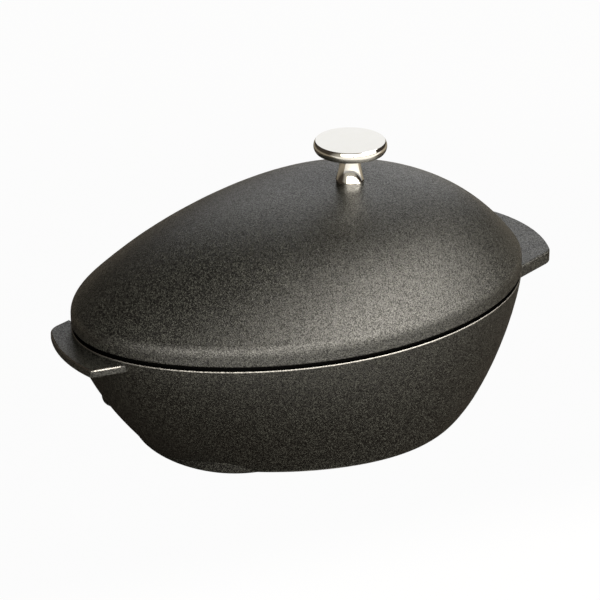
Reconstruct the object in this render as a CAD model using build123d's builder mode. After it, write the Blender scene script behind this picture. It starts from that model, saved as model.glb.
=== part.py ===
from build123d import *
from math import asin, ceil, cos, degrees, pi, radians, sin
import os

# Covered oval mussel pot in enamelled cast iron. X runs along the two ears, the narrow end
# lies at -X and the broad end at +X, +Z is up. The origin is on the plane that the pot
# stands on, under the middle of the mouth.

# Mouth: the outer edge of the pot's rim, which the lid's edge follows
mouth_length = 250.0
mouth_width = 181.5
mouth_taper = 0.162
mouth_lean = 9.15
mouth_lean_gain = 4.3
outline_points = 36

# Pot body
pot_height = 70.0
wall_thickness = 4.5
floor_thickness = 5.0
rim_round = 0.8
rim_round_steps = 3
narrow_draw = 38.9
narrow_curve = 1.58
broad_draw = 42.3
broad_curve = 1.54
broad_turn = 1.65
side_draw = 18.5
base_taper = 0.187
wall_levels = 11

# Raised foot under the floor, set against the outline of the wall's base
foot_narrow_step = 0.6
foot_broad_setback = 42.3
foot_side_setback = 21.3
foot_taper = -0.306
foot_shift = 2.3
foot_relief = 0.8
foot_height = 7.0
foot_round = 0.8

# Ear at the narrow end
narrow_ear_reach = 11.0
narrow_ear_drop = 2.0
narrow_ear_thickness = 4.3
narrow_ear_front = 24.0
narrow_ear_front_setback = 2.1
narrow_ear_back = 30.0
narrow_ear_back_setback = 8.9
narrow_ear_shift = -7.0
narrow_ear_flare = 4.0
narrow_ear_front_corner = 3.0
narrow_ear_back_corner = 11.0

# Ear at the broad end
broad_ear_reach = 25.0
broad_ear_drop = 0.9
broad_ear_thickness = 7.0
broad_ear_half_width = 36.7
broad_ear_shift = 4.0
broad_ear_flare = 8.1
broad_ear_setback = 10.3
broad_ear_corner = 9.0

# Shared by both ears
ear_root = 22.0
ear_edge_round = 1.0

# Cast nub, a low round swelling on the slope under the narrow ear
nub_radius = 5.8
nub_stand = 1.1
nub_drop = 37.5
nub_turn = 175.0

# Lid, with the peak of its dome measured from the middle of the mouth
groove_height = 2.1
groove_depth = 2.0
band_height = 8.2
band_edge_round = 0.8
dome_rise = 38.8
dome_fullness = 3.0
dome_peak_x = 37.6
dome_peak_y = 1.3
dome_levels = 10
shoulder_round = 7.0
lid_thickness = 4.5
register_clearance = 0.8
register_width = 3.0
register_depth = 3.0
hollow_lift = 3.0

# Knob axis, measured from the middle of the mouth
knob_x = 35.3
knob_y = 2.9

# Knob: a disc on a flaring stem, which stands on its own base ring
disc_radius = 18.9
disc_face_radius = 17.9
disc_thickness = 6.1
disc_crown = 0.5
knob_height = 21.6
stem_neck_radius = 5.2
stem_foot_radius = 7.3
stem_fillet = 2.0
ring_radius = 7.2
ring_height = 2.6
ring_chamfer = 0.5

# Fasteners under the lid
screw_radius = 3.0
screw_hole_play = 0.4
thread_play = 0.1
screw_engagement = 9.0
thread_spare = 2.0
screw_head_radius = 5.6
screw_head_height = 3.6
screw_head_round = 1.4
screw_slot_width = 1.4
screw_slot_depth = 1.5
washer_radius = 8.0
washer_thickness = 1.6
lock_washer_radius = 5.5
lock_washer_thickness = 1.6
lock_washer_split = 1.2
boss_radius = 10.5
boss_depth = 1.5

# Basting pips inside the lid, in rings about the dome's peak
pip_radius = 2.0
pip_length = 3.0
pip_root = 2.5
pip_ring_shares = (0.35, 0.62)
pips_in_ring = 9

# Strainer plate that stands on the pot's floor
strainer_lift = 13.0
strainer_sheet = 1.2
strainer_skirt = 5.0
strainer_clearance = 3.0
strainer_foot_radius = 4.5
strainer_foot_x = 48.0
strainer_foot_y = 30.0
drain_hole_radius = 3.0
drain_pitch = 14.0
drain_margin = 7.0
drain_web = 3.0
finger_hole_radius = 10.0
finger_hole_x = 66.0

# Half the height of the thin slice in which an edge is looked for, and the step down the
# wall that gives its slope at the nub
edge_slice = 0.01
slope_step = 0.01

half_length = mouth_length / 2
half_width = mouth_width / 2
lid_base = pot_height + groove_height
dome_base = lid_base + band_height
dome_top = dome_base + dome_rise
register_inset = wall_thickness + register_clearance
hollow_inset = register_inset + register_width
hollow_base = dome_base + hollow_lift
hollow_rise = dome_top - lid_thickness - hollow_base


def outline_point(turn, narrow, broad, side, taper, lean, lean_gain):
    """The point at a turn round a mussel-shaped outline that reaches from -narrow to +broad."""
    x = (broad - narrow) / 2 + (broad + narrow) / 2 * cos(turn)
    sideways = (lean + lean_gain * cos(turn)) * cos(turn) * sin(turn) ** 2
    y = side * sin(turn) * (1 + taper * cos(turn)) + sideways
    return (x, y)


def outline(*shape):
    """Points all round the outline of the given shape."""
    return [outline_point(2 * pi * step / outline_points, *shape) for step in range(outline_points)]


def mouth_shape(inset=0.0):
    """The mouth's outline, moved inwards all round by the inset."""
    reach = half_length - inset
    return (reach, reach, half_width - inset, mouth_taper, mouth_lean, mouth_lean_gain)


def wall_shape(depth, inset=0.0):
    """The wall's outline at a depth from 0, the rim, to 1, the base."""
    narrow = half_length - inset - narrow_draw * depth**narrow_curve
    broad = half_length - inset - broad_draw * (1 - (1 - depth**broad_curve) ** (1 / broad_turn))
    side = half_width - inset - side_draw * depth
    taper = mouth_taper + (base_taper - mouth_taper) * depth
    upright = 1 - depth
    return (narrow, broad, side, taper, mouth_lean * upright, mouth_lean_gain * upright)


def cavity_depth(height):
    """Depth, from 0 at the rim to 1 at the floor, of a height inside the pot."""
    return (pot_height - height) / (pot_height - floor_thickness)


def register_shape(inset):
    """The outline of the cavity at the foot of the lid's register ring, moved in by the inset."""
    return wall_shape(cavity_depth(pot_height - register_depth), inset)


def about_peak(points, share):
    """The points drawn in towards the dome's peak to the given share of their distance."""
    return [
        (dome_peak_x + share * (x - dome_peak_x), dome_peak_y + share * (y - dome_peak_y))
        for x, y in points
    ]


def dome_height(share, rise):
    """Height of a dome above its base on the level line with the given share."""
    return rise * (1 - share**dome_fullness)


# Depths at which the wall is drawn, closer together where it turns under
wall_depths = [sin(pi / 2 * level / (wall_levels - 1)) for level in range(wall_levels)]
lip_depth = rim_round / (pot_height - foot_relief)
dome_shares = [1 - level / dome_levels for level in range(dome_levels)]

# Heights of the knob's seats above and below the lid
knob_seat = dome_base + dome_height(dome_shares[-1], dome_rise)
knob_axis = Axis((knob_x, knob_y, 0), (0, 0, 1))
boss_face = hollow_base + dome_height(dome_shares[-1], hollow_rise) - boss_depth
lock_face = boss_face - washer_thickness
head_face = lock_face - lock_washer_thickness


# The pot is one casting: foot, ears, nub, wall and floor
with BuildPart() as foot:
    with BuildSketch(Plane((0, foot_shift, 0))):
        with BuildLine():
            Spline(
                outline(
                    half_length - narrow_draw + foot_narrow_step,
                    half_length - broad_draw - foot_broad_setback,
                    half_width - side_draw - foot_side_setback,
                    foot_taper,
                    0,
                    0,
                ),
                periodic=True,
            )
        make_face()
    extrude(amount=foot_height)
    fillet(edges().sort_by(Axis.Z)[0], radius=foot_round)

with BuildPart() as narrow_ear:
    narrow_tip = -half_length - narrow_ear_reach
    narrow_root = narrow_tip + narrow_ear_reach + ear_root / 2
    with BuildSketch(Plane.XY.offset(pot_height - narrow_ear_drop - narrow_ear_thickness)):
        with BuildLine():
            front = (narrow_tip + narrow_ear_front_setback, -narrow_ear_front)
            back = (narrow_tip + narrow_ear_back_setback, narrow_ear_back)
            Polyline(
                front,
                (narrow_root, -narrow_ear_front - narrow_ear_flare),
                (narrow_root, narrow_ear_back + narrow_ear_flare),
                back,
            )
            ThreePointArc(front, (narrow_tip, narrow_ear_shift), back)
        make_face()
        tip_corners = vertices().sort_by(Axis.X)[:2].sort_by(Axis.Y)
        fillet(tip_corners[0], radius=narrow_ear_front_corner)
        tip_corners = vertices().sort_by(Axis.Y)
        fillet(tip_corners[-2], radius=narrow_ear_back_corner)
    extrude(amount=narrow_ear_thickness)
    fillet(faces().sort_by(Axis.Z)[-1].edges() + faces().sort_by(Axis.Z)[0].edges(), radius=ear_edge_round)

with BuildPart() as broad_ear:
    broad_tip = half_length + broad_ear_reach
    broad_root = half_length - ear_root / 2
    with BuildSketch(Plane.XY.offset(pot_height - broad_ear_drop - broad_ear_thickness)):
        with BuildLine():
            front = (broad_tip - broad_ear_setback, broad_ear_shift - broad_ear_half_width)
            back = (broad_tip - broad_ear_setback, broad_ear_shift + broad_ear_half_width)
            Polyline(
                front,
                (broad_root, broad_ear_shift - broad_ear_half_width - broad_ear_flare),
                (broad_root, broad_ear_shift + broad_ear_half_width + broad_ear_flare),
                back,
            )
            ThreePointArc(front, (broad_tip, broad_ear_shift), back)
        make_face()
        fillet(vertices().sort_by(Axis.X)[-2:], radius=broad_ear_corner)
    extrude(amount=broad_ear_thickness)
    fillet(faces().sort_by(Axis.Z)[-1].edges() + faces().sort_by(Axis.Z)[0].edges(), radius=ear_edge_round)

nub_height = pot_height - nub_drop
nub_depth = nub_drop / (pot_height - foot_relief)
nub_x, nub_y = outline_point(radians(nub_turn), *wall_shape(nub_depth))
below_x, below_y = outline_point(radians(nub_turn), *wall_shape(nub_depth + slope_step))
beside_x, beside_y = outline_point(radians(nub_turn + 1), *wall_shape(nub_depth))
down_wall = Vector(below_x - nub_x, below_y - nub_y, -slope_step * (pot_height - foot_relief))
along_wall = Vector(beside_x - nub_x, beside_y - nub_y, 0)
with BuildPart() as nub:
    nub_plane = Plane(
        (nub_x, nub_y, nub_height), x_dir=along_wall, z_dir=down_wall.cross(along_wall)
    )
    with Locations(nub_plane.offset(nub_stand - nub_radius)):
        Sphere(nub_radius)

with BuildPart() as pot:
    for level in wall_depths:
        depth = lip_depth + (1 - lip_depth) * level
        with BuildSketch(Plane.XY.offset(pot_height - depth * (pot_height - foot_relief))):
            with BuildLine():
                Spline(outline(*wall_shape(depth)), periodic=True)
            make_face()
    loft()
    for step in range(rim_round_steps + 1):
        turn = pi / 2 * step / rim_round_steps
        with BuildSketch(Plane.XY.offset(pot_height - rim_round * (1 - sin(turn)))):
            with BuildLine():
                Spline(outline(*wall_shape(lip_depth, rim_round * (1 - cos(turn)))), periodic=True)
            make_face()
    loft(ruled=True)

    add(foot.part)
    add(narrow_ear.part)
    add(broad_ear.part)
    add(nub.part)

    for depth in wall_depths:
        with BuildSketch(Plane.XY.offset(pot_height - depth * (pot_height - floor_thickness))):
            with BuildLine():
                Spline(outline(*wall_shape(depth, wall_thickness)), periodic=True)
            make_face()
    loft(mode=Mode.SUBTRACT)
pot.part.label = "pot"

# A basting pip hangs down from its root, with a round tip
with BuildPart() as pip:
    with BuildSketch(Plane.XZ):
        with BuildLine():
            Polyline(
                (0, -pip_length),
                (0, pip_root),
                (pip_radius, pip_root),
                (pip_radius, pip_radius - pip_length),
            )
            CenterArc(
                center=(0, pip_radius - pip_length),
                radius=pip_radius,
                start_angle=270,
                arc_size=90,
            )
        make_face()
    revolve(axis=Axis.Z)
pip_places = []
for share in pip_ring_shares:
    for step in range(pips_in_ring):
        place = outline_point(2 * pi * step / pips_in_ring, *register_shape(hollow_inset))
        x, y = about_peak([place], share)[0]
        pip_places.append((x, y, hollow_base + dome_height(share, hollow_rise)))

# The lid is a domed casting with a flat land that bears on the rim and a ring inside the mouth
with BuildPart() as lid:
    with BuildSketch(Plane.XY.offset(pot_height - register_depth)):
        with BuildLine():
            Spline(outline(*register_shape(register_inset)), periodic=True)
        make_face()
    extrude(amount=register_depth)

    with BuildSketch(Plane.XY.offset(pot_height)):
        with BuildLine():
            Spline(outline(*mouth_shape(groove_depth)), periodic=True)
        make_face()
    extrude(amount=groove_height)

    with BuildSketch(Plane.XY.offset(lid_base)):
        with BuildLine():
            Spline(outline(*mouth_shape()), periodic=True)
        make_face()
    extrude(amount=band_height)
    band_edge = edges().filter_by_position(Axis.Z, lid_base - edge_slice, lid_base + edge_slice)
    fillet(band_edge.sort_by(SortBy.LENGTH)[-1], radius=band_edge_round)

    for share in dome_shares:
        with BuildSketch(Plane.XY.offset(dome_base + dome_height(share, dome_rise))):
            with BuildLine():
                Spline(about_peak(outline(*mouth_shape()), share), periodic=True)
            make_face()
    loft()
    shoulder = edges().filter_by_position(Axis.Z, dome_base - edge_slice, dome_base + edge_slice)
    fillet(shoulder, radius=shoulder_round)

    with BuildSketch(Plane.XY.offset(pot_height - register_depth)):
        with BuildLine():
            Spline(outline(*register_shape(hollow_inset)), periodic=True)
        make_face()
    extrude(amount=hollow_base - pot_height + register_depth, mode=Mode.SUBTRACT)

    for share in dome_shares:
        with BuildSketch(Plane.XY.offset(hollow_base + dome_height(share, hollow_rise))):
            with BuildLine():
                Spline(about_peak(outline(*register_shape(hollow_inset)), share), periodic=True)
            make_face()
    loft(mode=Mode.SUBTRACT)

    with BuildSketch(Plane((knob_x, knob_y, boss_face))):
        Circle(boss_radius)
    extrude(amount=boss_depth + lid_thickness / 2)

    with Locations(pip_places):
        add(pip.part)

    with Locations((knob_x, knob_y, dome_top)):
        Hole(screw_radius + screw_hole_play)
lid.part.label = "lid"

# The base ring of the knob, turned, with the screw passing through it
with BuildPart() as knob_base_ring:
    with BuildSketch(Plane((knob_x, knob_y, knob_seat))):
        Circle(ring_radius)
        Circle(screw_radius + screw_hole_play, mode=Mode.SUBTRACT)
    extrude(amount=ring_height)
    chamfer(edges().group_by(Axis.Z)[-1].sort_by(SortBy.LENGTH)[-1], length=ring_chamfer)
knob_base_ring.part.label = "knob_base_ring"

# The knob, turned in one piece: stem and disc, threaded from below
with BuildPart() as knob:
    knob_foot = knob_seat + ring_height
    disc_under = knob_height - disc_thickness
    disc_rim = knob_height - disc_crown
    crown_radius = (disc_face_radius**2 + disc_crown**2) / (2 * disc_crown)
    crown_angle = degrees(asin(disc_face_radius / crown_radius))
    with BuildSketch(Plane((knob_x, knob_y, knob_foot), x_dir=(1, 0, 0), z_dir=(0, -1, 0))):
        with BuildLine():
            Polyline(
                (0, 0),
                (stem_foot_radius - ring_chamfer, 0),
                (stem_foot_radius, ring_chamfer),
            )
            TangentArc(
                (stem_neck_radius, disc_under - stem_fillet),
                (stem_foot_radius, ring_chamfer),
                tangent=(0, -1),
            )
            CenterArc(
                center=(stem_neck_radius + stem_fillet, disc_under - stem_fillet),
                radius=stem_fillet,
                start_angle=90,
                arc_size=90,
            )
            Line((stem_neck_radius + stem_fillet, disc_under), (disc_face_radius, disc_under))
            ThreePointArc(
                (disc_face_radius, disc_under),
                (disc_radius, (disc_under + disc_rim) / 2),
                (disc_face_radius, disc_rim),
            )
            CenterArc(
                center=(0, knob_height - crown_radius),
                radius=crown_radius,
                start_angle=90 - crown_angle,
                arc_size=crown_angle,
            )
            Line((0, knob_height), (0, 0))
        make_face()
    revolve(axis=knob_axis)
    with BuildSketch(Plane((knob_x, knob_y, knob_foot))):
        Circle(screw_radius + thread_play)
    extrude(amount=screw_engagement + thread_spare, mode=Mode.SUBTRACT)
knob.part.label = "knob"

# The fasteners under the lid: flat washer, split lock washer and slotted screw
with BuildPart() as flat_washer:
    with BuildSketch(Plane((knob_x, knob_y, lock_face))):
        Circle(washer_radius)
        Circle(screw_radius + screw_hole_play, mode=Mode.SUBTRACT)
    extrude(amount=washer_thickness)
flat_washer.part.label = "flat_washer"

with BuildPart() as lock_washer:
    with BuildSketch(Plane((knob_x, knob_y, head_face))):
        Circle(lock_washer_radius)
        Circle(screw_radius + screw_hole_play, mode=Mode.SUBTRACT)
        with Locations((lock_washer_radius, 0)):
            Rectangle(2 * lock_washer_radius, lock_washer_split, mode=Mode.SUBTRACT)
    extrude(amount=lock_washer_thickness)
lock_washer.part.label = "lock_washer"

with BuildPart() as knob_screw:
    with BuildSketch(Plane((knob_x, knob_y, head_face))):
        Circle(screw_head_radius)
    extrude(amount=-screw_head_height)
    fillet(edges().sort_by(Axis.Z)[0], radius=screw_head_round)
    with BuildSketch(Plane((knob_x, knob_y, head_face - screw_head_height))):
        Rectangle(2 * screw_head_radius, screw_slot_width)
    extrude(amount=screw_slot_depth, mode=Mode.SUBTRACT)
    with BuildSketch(Plane((knob_x, knob_y, head_face))):
        Circle(screw_radius)
    extrude(amount=knob_foot + screw_engagement - head_face)
knob_screw.part.label = "knob_screw"

# The strainer is a pressed sheet with a skirt, drain holes, two finger holes and four feet
plate_top = floor_thickness + strainer_lift
skirt_depth = cavity_depth(plate_top - strainer_skirt)
plate_inset = wall_thickness + strainer_clearance
foot_places = [
    (x, y) for x in (-strainer_foot_x, strainer_foot_x) for y in (-strainer_foot_y, strainer_foot_y)
]
finger_places = [(-finger_hole_x, 0), (finger_hole_x, 0)]
with BuildSketch() as drain_area:
    with BuildLine():
        Spline(outline(*wall_shape(skirt_depth, plate_inset + drain_margin)), periodic=True)
    make_face()
drain_rows = ceil(mouth_width / drain_pitch)
drain_columns = ceil(mouth_length / drain_pitch)
drain_places = []
for place in GridLocations(drain_pitch, drain_pitch, drain_columns, drain_rows).local_locations:
    spot = place.position
    clear_of_feet = min(
        (spot - Vector(*centre)).length - strainer_foot_radius for centre in foot_places
    )
    clear_of_fingers = min(
        (spot - Vector(*centre)).length - finger_hole_radius for centre in finger_places
    )
    web = min(clear_of_feet, clear_of_fingers) - drain_hole_radius
    if drain_area.face().is_inside(spot) and web > drain_web:
        drain_places.append((spot.X, spot.Y))

with BuildPart() as strainer:
    with BuildSketch(Plane.XY.offset(plate_top - strainer_skirt)):
        with BuildLine():
            Spline(outline(*wall_shape(skirt_depth, plate_inset)), periodic=True)
        make_face()
    extrude(amount=strainer_skirt)
    fillet(edges().sort_by(Axis.Z)[-1], radius=2 * strainer_sheet)
    with BuildSketch(Plane.XY.offset(plate_top - strainer_skirt)):
        with BuildLine():
            Spline(outline(*wall_shape(skirt_depth, plate_inset + strainer_sheet)), periodic=True)
        make_face()
    extrude(amount=strainer_skirt - strainer_sheet, mode=Mode.SUBTRACT)
    with BuildSketch(Plane.XY.offset(floor_thickness)):
        with Locations(foot_places):
            Circle(strainer_foot_radius)
    extrude(amount=strainer_lift - strainer_sheet / 2)
    with BuildSketch(Plane.XY.offset(plate_top)):
        with Locations(drain_places):
            Circle(drain_hole_radius)
        with Locations(finger_places):
            Circle(finger_hole_radius)
    extrude(amount=-2 * strainer_sheet, mode=Mode.SUBTRACT)
strainer.part.label = "strainer"

os.makedirs("parts", exist_ok=True)
export_step(pot.part, "parts/pot.step")
export_step(lid.part, "parts/lid.step")
export_step(knob_base_ring.part, "parts/knob_base_ring.step")
export_step(knob.part, "parts/knob.step")
export_step(flat_washer.part, "parts/flat_washer.step")
export_step(lock_washer.part, "parts/lock_washer.step")
export_step(knob_screw.part, "parts/knob_screw.step")
export_step(strainer.part, "parts/strainer.step")
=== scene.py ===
import math

import bpy
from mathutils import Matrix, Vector


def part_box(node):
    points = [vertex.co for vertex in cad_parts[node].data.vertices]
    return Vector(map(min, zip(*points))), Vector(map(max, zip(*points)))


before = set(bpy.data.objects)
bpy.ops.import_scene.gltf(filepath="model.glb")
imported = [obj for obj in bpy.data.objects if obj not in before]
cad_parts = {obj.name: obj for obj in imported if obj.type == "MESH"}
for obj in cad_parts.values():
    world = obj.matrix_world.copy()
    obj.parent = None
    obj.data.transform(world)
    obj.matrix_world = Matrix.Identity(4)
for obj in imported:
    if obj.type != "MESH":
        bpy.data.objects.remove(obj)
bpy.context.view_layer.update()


# The camera: a long lens on a stand in front of the pot, to the left and above, at the place
# found by fitting the lid's outline in the photograph.
camera_turn, camera_rise = -33.06, 25.0
camera_distance = 1.5
camera_lens = 177.03
sensor_width = 36
nearest_seen = 0.05
aim = Vector((-0.00816, -0.01679, 0.0715))


def towards(turn, rise):
    """The direction at a turn round the pot and a rise, in degrees. Turn 0 is the front."""
    turn, rise = math.radians(turn), math.radians(rise)
    return Vector((
        math.sin(turn) * math.cos(rise),
        -math.cos(turn) * math.cos(rise),
        math.sin(rise),
    ))


def stand_off(name, equipment, turn, rise, distance):
    """Stands a camera or a lamp away from the pot, facing it."""
    stand = bpy.data.objects.new(name, equipment)
    outwards = towards(turn, rise)
    stand.location = aim + distance * outwards
    stand.rotation_euler = (-outwards).to_track_quat("-Z", "Y").to_euler()
    bpy.context.scene.collection.objects.link(stand)
    return stand


lens = bpy.data.cameras.new("camera")
lens.sensor_width = sensor_width
lens.lens = camera_lens
lens.clip_start = nearest_seen
camera = stand_off("camera", lens, camera_turn, camera_rise, camera_distance)
bpy.context.scene.camera = camera
bpy.context.scene.view_settings.view_transform = "Standard"


# The white surroundings. The camera sees plain white all round. Everything else sees a dim
# brown studio with a round white sheet low at the back and a cream wall behind the camera.
seen_white = (1, 1, 1, 1)
room_brown = (0.045, 0.036, 0.028, 1)
wall_cream = (0.45, 0.42, 0.36, 1)
wall_full, wall_none = 0.85, 0.35
sheet_white = (1, 1, 1, 1)
sheet_turn, sheet_rise = 141, 17
sheet_full, sheet_none = math.cos(math.radians(11)), math.cos(math.radians(22))


def feed(tree, node, inputs):
    """Gives each input of a node a fixed value, or links another node's output to it."""
    for socket, value in inputs.items():
        if isinstance(value, bpy.types.NodeSocket):
            tree.links.new(value, node.inputs[socket])
        else:
            node.inputs[socket].default_value = value


def add_node(tree, kind, inputs, **settings):
    """Adds a shader node with its settings, and feeds its inputs."""
    node = tree.nodes.new("ShaderNode" + kind)
    for setting, value in settings.items():
        setattr(node, setting, value)
    feed(tree, node, inputs)
    return node


world = bpy.data.worlds.new("white_studio")
bpy.context.scene.world = world
world.use_nodes = True
tree = world.node_tree
tree.nodes.clear()
way = add_node(tree, "TexCoord", {}).outputs["Generated"]
facing_wall = add_node(
    tree, "VectorMath", {0: way, 1: towards(camera_turn, 0)}, operation="DOT_PRODUCT"
)
wall_share = add_node(
    tree, "MapRange",
    {"Value": facing_wall.outputs["Value"], "From Min": wall_none, "From Max": wall_full},
    interpolation_type="SMOOTHSTEP",
)
room = add_node(
    tree, "Mix",
    {"Factor": wall_share.outputs["Result"], "A": room_brown, "B": wall_cream},
    data_type="RGBA",
)
facing_sheet = add_node(
    tree, "VectorMath", {0: way, 1: towards(sheet_turn, sheet_rise)}, operation="DOT_PRODUCT"
)
sheet_share = add_node(
    tree, "MapRange",
    {"Value": facing_sheet.outputs["Value"], "From Min": sheet_none, "From Max": sheet_full},
    interpolation_type="SMOOTHSTEP",
)
studio = add_node(
    tree, "Mix",
    {"Factor": sheet_share.outputs["Result"], "A": room.outputs["Result"], "B": sheet_white},
    data_type="RGBA",
)
ray = add_node(tree, "LightPath", {})
sees_white = add_node(
    tree, "Math",
    {0: ray.outputs["Is Camera Ray"], 1: ray.outputs["Is Transmission Ray"]},
    operation="MAXIMUM",
)
shown = add_node(
    tree, "Mix",
    {"Factor": sees_white.outputs[0], "A": studio.outputs["Result"], "B": seen_white},
    data_type="RGBA",
)
sky = add_node(tree, "Background", {"Color": shown.outputs["Result"]})
add_node(tree, "OutputWorld", {"Surface": sky.outputs[0]})


# The floor: a wide table top. To the camera it glows white, mixed with a little of its own matt
# colour, which takes the shadow. To everything else it is cream farther off and dark brown near
# the pot, a painted shade under it, with white paper laid in front. It lies just under the foot.
floor_reach = 6.0
floor_drop = 0.0001
floor_glow_seen = 0.97
paper_glow = 0.3
glow_white = (1, 1, 1, 1)
paper_white = (0.85, 0.84, 0.81, 1)
paper_turn = -10
paper_from, paper_to = 0.11, 0.19
# Painted shade: the floor is dark brown close round the pot and cream beyond.
painted_shade_brown = (0.06, 0.05, 0.042, 1)
table_cream = (0.34, 0.31, 0.26, 1)
painted_shade_reach, cream_reach = 0.30, 0.55

bpy.ops.mesh.primitive_plane_add(size=2 * floor_reach, location=(0, 0, -floor_drop))
floor = bpy.context.object
floor.name = "floor"
floor_white = bpy.data.materials.new("floor_white")
floor_white.use_nodes = True
tree = floor_white.node_tree
spot = add_node(tree, "TexCoord", {}).outputs["Object"]
reach = add_node(tree, "VectorMath", {0: spot}, operation="LENGTH")
far_off = add_node(
    tree, "MapRange",
    {"Value": reach.outputs["Value"], "From Min": painted_shade_reach, "From Max": cream_reach},
    interpolation_type="SMOOTHSTEP",
)
# Painted shade round the pot, fading to cream between the two reaches.
table = add_node(
    tree, "Mix",
    {"Factor": far_off.outputs["Result"], "A": painted_shade_brown, "B": table_cream},
    data_type="RGBA",
)
in_front = add_node(
    tree, "VectorMath", {0: spot, 1: towards(paper_turn, 0)}, operation="DOT_PRODUCT"
)
on_paper = add_node(
    tree, "MapRange",
    {"Value": in_front.outputs["Value"], "From Min": paper_from, "From Max": paper_to},
    interpolation_type="SMOOTHSTEP",
)
top = add_node(
    tree, "Mix",
    {"Factor": on_paper.outputs["Result"], "A": table.outputs["Result"], "B": paper_white},
    data_type="RGBA",
)
matt = tree.nodes["Principled BSDF"]
feed(tree, matt, {
    "Base Color": top.outputs["Result"],
    "Roughness": 1.0,
    "Specular IOR Level": 0.0,
})
ray = add_node(tree, "LightPath", {})
gloss_or_glass = add_node(
    tree, "Math",
    {0: ray.outputs["Is Glossy Ray"], 1: ray.outputs["Is Transmission Ray"]},
    operation="MAXIMUM",
)
gloss_on_paper = add_node(
    tree, "Math",
    {0: gloss_or_glass.outputs[0], 1: on_paper.outputs["Result"]},
    operation="MULTIPLY",
)
gloss_share = add_node(
    tree, "Math", {0: gloss_on_paper.outputs[0], 1: paper_glow}, operation="MULTIPLY"
)
glow_share = add_node(
    tree, "Math",
    {0: ray.outputs["Is Camera Ray"], 1: floor_glow_seen, 2: gloss_share.outputs[0]},
    operation="MULTIPLY_ADD",
)
glow = add_node(tree, "Emission", {"Color": glow_white, "Strength": 1.0})
matt_or_glow = add_node(
    tree, "MixShader", {"Fac": glow_share.outputs[0], 1: matt.outputs[0], 2: glow.outputs[0]}
)
feed(tree, tree.nodes["Material Output"], {"Surface": matt_or_glow.outputs[0]})
floor.data.materials.append(floor_white)


# The lamps: three large soft boxes in a row in front, low and warm, and a rounder one higher
# up on the right, which makes the broad sheen on the lid.
lamp_warm = (1.0, 0.945, 0.85)
lamp_distance = 1.9
front_turns = {"front_box_left": -43, "front_box": -4, "front_box_right": 35}
front_rise = 25
front_size = 1.3
front_glow = 3.2
high_turn, high_rise = 47, 51
high_size = 1.5
high_glow = 4.0


def soft_box(name, turn, rise, size, glow):
    """A square lamp of a given size and brightness, facing the pot."""
    lamp = bpy.data.lights.new(name, "AREA")
    lamp.shape = "SQUARE"
    lamp.size = size
    lamp.energy = glow * math.pi * size ** 2
    lamp.color = lamp_warm
    return stand_off(name, lamp, turn, rise, lamp_distance)


for name, turn in front_turns.items():
    soft_box(name, turn, front_rise, front_size, front_glow)
soft_box("high_box", high_turn, high_rise, high_size, high_glow)


# The pot: one iron casting, sprayed with matt black enamel and fired, which comes out of the
# kiln sandy. The top of its rim is wiped clean of enamel and blackened, darker than the enamel
# as painted shade for the gap under the lid. A light metal band along the rim's outer edge and
# another along the narrow ear's top edge are painted highlights.
enamel_dark = (0.0015, 0.0016, 0.0014, 1)
enamel_light = (0.0600, 0.0625, 0.0545, 1)
enamel_roughness = (0.36, 0.42)
enamel_gloss = 0.5
glaze_index = 1.8
glaze_roughness = 0.38
speck_size = 0.00042
speck_relief = 0.0001
dark_specks, light_specks = 0.6, 0.9
dull_specks, glazed_specks = 0.35, 0.65
drift_scale = 18.0
drift_detail = 3.0


def speckle_group():
    """Fine specks of a fired matt coat: tone and glaze masks, a height and a slow drift."""
    group = bpy.data.node_groups.new("enamel_speckle", "ShaderNodeTree")
    group.interface.new_socket("Speck size", in_out="INPUT", socket_type="NodeSocketFloat")
    for output in ("Tone", "Glaze", "Height", "Drift"):
        group.interface.new_socket(output, in_out="OUTPUT", socket_type="NodeSocketFloat")
    entry = group.nodes.new("NodeGroupInput")
    place = add_node(group, "TexCoord", {}).outputs["Object"]
    scale = add_node(group, "Math", {0: 1.0, 1: entry.outputs["Speck size"]}, operation="DIVIDE")
    specks = add_node(
        group, "TexVoronoi", {"Vector": place, "Scale": scale.outputs[0]}, feature="F1"
    )
    shares = add_node(group, "SeparateColor", {0: specks.outputs["Color"]})
    tone = add_node(group, "MapRange", {
        "Value": shares.outputs["Red"],
        "From Min": dark_specks,
        "From Max": light_specks,
    })
    glaze = add_node(group, "MapRange", {
        "Value": shares.outputs["Green"],
        "From Min": dull_specks,
        "From Max": glazed_specks,
    })
    drift = add_node(
        group, "TexNoise", {"Vector": place, "Scale": drift_scale, "Detail": drift_detail}
    )
    feed(group, group.nodes.new("NodeGroupOutput"), {
        "Tone": tone.outputs["Result"],
        "Glaze": glaze.outputs["Result"],
        "Height": specks.outputs["Distance"],
        "Drift": drift.outputs["Fac"],
    })
    return group


def height_group():
    """A mask of the surface between two heights above the table, left of a given place."""
    group = bpy.data.node_groups.new("between_heights", "ShaderNodeTree")
    for limit in ("Low", "High", "Left of"):
        group.interface.new_socket(limit, in_out="INPUT", socket_type="NodeSocketFloat")
    group.interface.new_socket("Mask", in_out="OUTPUT", socket_type="NodeSocketFloat")
    entry = group.nodes.new("NodeGroupInput")
    place = add_node(group, "TexCoord", {}).outputs["Object"]
    spot = add_node(group, "SeparateXYZ", {0: place})
    above = add_node(
        group, "Math", {0: spot.outputs["Z"], 1: entry.outputs["Low"]}, operation="GREATER_THAN"
    )
    below = add_node(
        group, "Math", {0: spot.outputs["Z"], 1: entry.outputs["High"]}, operation="LESS_THAN"
    )
    beside = add_node(
        group, "Math", {0: spot.outputs["X"], 1: entry.outputs["Left of"]}, operation="LESS_THAN"
    )
    between = add_node(
        group, "Math", {0: above.outputs[0], 1: below.outputs[0]}, operation="MULTIPLY"
    )
    inside = add_node(
        group, "Math", {0: between.outputs[0], 1: beside.outputs[0]}, operation="MULTIPLY"
    )
    feed(group, group.nodes.new("NodeGroupOutput"), {"Mask": inside.outputs[0]})
    return group


enamel_speckle = speckle_group()
between_heights = height_group()


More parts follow.
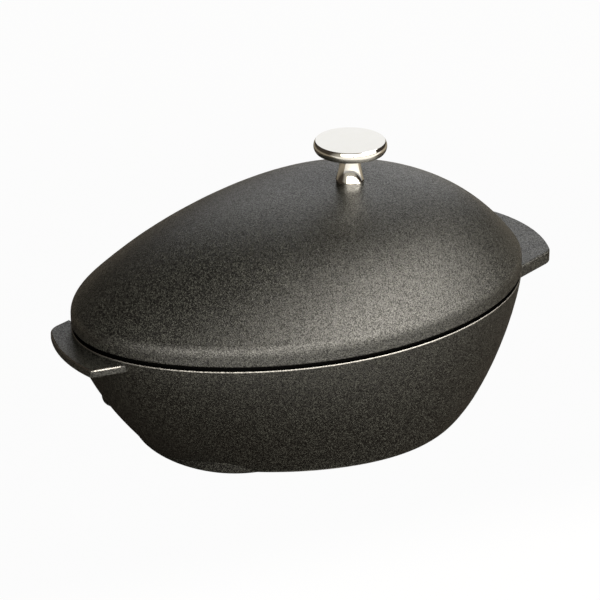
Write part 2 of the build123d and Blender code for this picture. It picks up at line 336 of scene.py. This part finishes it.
def enamelled_iron(name, bare_and_painted_bands):
    """Matt black enamel with bands of unenamelled iron, partly painted highlight and shade: low,
    high, left of, colour, roughness.
    """
    enamel = bpy.data.materials.new(name)
    enamel.use_nodes = True
    tree = enamel.node_tree
    speckle = add_node(tree, "Group", {"Speck size": speck_size}, node_tree=enamel_speckle)
    color = add_node(
        tree, "Mix",
        {"Factor": speckle.outputs["Tone"], "A": enamel_dark, "B": enamel_light},
        data_type="RGBA",
    ).outputs["Result"]
    roughness = add_node(tree, "MapRange", {
        "Value": speckle.outputs["Drift"],
        "To Min": enamel_roughness[0],
        "To Max": enamel_roughness[1],
    }).outputs["Result"]
    glaze = speckle.outputs["Glaze"]
    metal = 0.0
    # The rim edge and ear edge bands are painted highlights; the blackened bands are unenamelled
    # iron and painted shade.
    for low, high, left_of, band_color, band_roughness in bare_and_painted_bands:
        limits = {"Low": low, "High": high, "Left of": left_of}
        bare_and_painted = add_node(tree, "Group", limits, node_tree=between_heights).outputs["Mask"]
        color = add_node(
            tree, "Mix", {"Factor": bare_and_painted, "A": color, "B": band_color}, data_type="RGBA"
        ).outputs["Result"]
        roughness = add_node(
            tree, "Mix", {"Factor": bare_and_painted, "A": roughness, "B": band_roughness}
        ).outputs["Result"]
        glaze = add_node(tree, "Mix", {"Factor": bare_and_painted, "A": glaze, "B": 0.0}).outputs["Result"]
        metal = add_node(tree, "Mix", {"Factor": bare_and_painted, "A": metal, "B": 1.0}).outputs["Result"]
    relief = add_node(
        tree, "Bump", {"Height": speckle.outputs["Height"], "Distance": speck_relief}
    ).outputs["Normal"]
    feed(tree, tree.nodes["Principled BSDF"], {
        "Base Color": color,
        "Roughness": roughness,
        "Metallic": metal,
        "Specular IOR Level": enamel_gloss,
        "Coat Weight": glaze,
        "Coat IOR": glaze_index,
        "Coat Roughness": glaze_roughness,
        "Normal": relief,
        "Coat Normal": relief,
    })
    return enamel


def give_finish(finish, *pieces):
    """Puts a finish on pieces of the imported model, in every slot that they have."""
    for piece in pieces:
        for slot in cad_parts[piece].material_slots:
            slot.material = finish


# Unenamelled blackened iron on the rim's top and the lid's groove, also a painted shade for the
# gap between lid and pot.
blackened_iron_and_shade = (0.004, 0.004, 0.004, 1)
blackened_roughness = 0.6
# Painted highlight: light metal along the rim's outer edge, for the light caught by its rounded
# edge.
rim_highlight_iron = (0.48, 0.475, 0.455, 1)
rim_highlight_roughness = 0.35
# Painted highlight: light metal along the narrow ear's top edge, for the light caught by its
# rounded edge.
ear_highlight_iron = (0.55, 0.54, 0.52, 1)
ear_highlight_roughness = 0.25
all_round = 1.0
ear_root = -0.119
rim_top = (0.0698, 0.0722, all_round, blackened_iron_and_shade, blackened_roughness)
rim_edge_highlight = (0.0694, 0.0698, all_round, rim_highlight_iron, rim_highlight_roughness)
ear_edge_highlight = (0.0675, 0.06797, ear_root, ear_highlight_iron, ear_highlight_roughness)
give_finish(enamelled_iron("pot_black_enamel", [rim_top, rim_edge_highlight, ear_edge_highlight]), "pot")


# The strainer: one stainless sheet, brushed along its length, pierced and pressed. It stands
# loose on the pot's floor on its four feet.
steel_dark = (0.53, 0.52, 0.50, 1)
steel_light = (0.63, 0.62, 0.60, 1)
steel_roughness = (0.26, 0.42)
brush_stretch = (60.0, 1400.0, 1400.0)
brush_detail = 3.0
brush_depth = 0.000004

steel = bpy.data.materials.new("satin_steel")
steel.use_nodes = True
tree = steel.node_tree
place = add_node(tree, "TexCoord", {}).outputs["Object"]
along = add_node(tree, "VectorMath", {0: place, 1: brush_stretch}, operation="MULTIPLY")
brushed = add_node(
    tree, "TexNoise", {"Vector": along.outputs["Vector"], "Scale": 1.0, "Detail": brush_detail}
).outputs["Fac"]
brush_lines = add_node(
    tree, "Mix", {"Factor": brushed, "A": steel_dark, "B": steel_light}, data_type="RGBA"
)
satin = add_node(
    tree, "MapRange",
    {"Value": brushed, "To Min": steel_roughness[0], "To Max": steel_roughness[1]},
)
grain = add_node(tree, "Bump", {"Height": brushed, "Distance": brush_depth})
feed(tree, tree.nodes["Principled BSDF"], {
    "Base Color": brush_lines.outputs["Result"],
    "Metallic": 1.0,
    "Roughness": satin.outputs["Result"],
    "Normal": grain.outputs["Normal"],
})
give_finish(steel, "strainer")


# The lid: one iron casting with the same enamel as the pot, wiped off the groove that bears on
# the pot's rim, which is blackened and also a painted shade for the seam. It lies loose on the
# rim.
lid_groove = (0.0698, 0.07215, all_round, blackened_iron_and_shade, blackened_roughness)
give_finish(enamelled_iron("lid_black_enamel", [lid_groove]), "lid")


# The knob and its base ring: brass, turned, plated with nickel and polished. The plating is
# warm and mirror bright, a little hazy in places, over very faint turning marks.
nickel_warm = (0.845, 0.83, 0.785, 1)
nickel_pale = (0.88, 0.87, 0.84, 1)
nickel_roughness = (0.03, 0.07)
haze_scale = 220.0
haze_detail = 4.0
turning_scale = 1250.0
turning_waver = 1.0
turning_depth = 0.0000006
knob_low, knob_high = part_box("knob")
knob_middle = ((knob_low[0] + knob_high[0]) / 2, (knob_low[1] + knob_high[1]) / 2, 0)

nickel = bpy.data.materials.new("polished_nickel")
nickel.use_nodes = True
tree = nickel.node_tree
place = add_node(tree, "TexCoord", {}).outputs["Object"]
haze = add_node(
    tree, "TexNoise", {"Vector": place, "Scale": haze_scale, "Detail": haze_detail}
).outputs["Fac"]
tint = add_node(
    tree, "Mix", {"Factor": haze, "A": nickel_warm, "B": nickel_pale}, data_type="RGBA"
)
polish = add_node(
    tree, "MapRange",
    {"Value": haze, "To Min": nickel_roughness[0], "To Max": nickel_roughness[1]},
)
off_axis = add_node(tree, "VectorMath", {0: place, 1: knob_middle}, operation="SUBTRACT")
turning = add_node(
    tree, "TexWave",
    {
        "Vector": off_axis.outputs["Vector"],
        "Scale": turning_scale,
        "Distortion": turning_waver,
    },
    wave_type="RINGS",
    rings_direction="Z",
)
marks = add_node(
    tree, "Bump", {"Height": turning.outputs["Fac"], "Distance": turning_depth}
)
feed(tree, tree.nodes["Principled BSDF"], {
    "Base Color": tint.outputs["Result"],
    "Metallic": 1.0,
    "Roughness": polish.outputs["Result"],
    "Normal": marks.outputs["Normal"],
})
give_finish(nickel, "knob", "knob_base_ring")


# The screw and its two washers: stainless steel with the strainer's finish. They hold the knob
# from inside the lid.
give_finish(steel, "knob_screw", "flat_washer", "lock_washer")
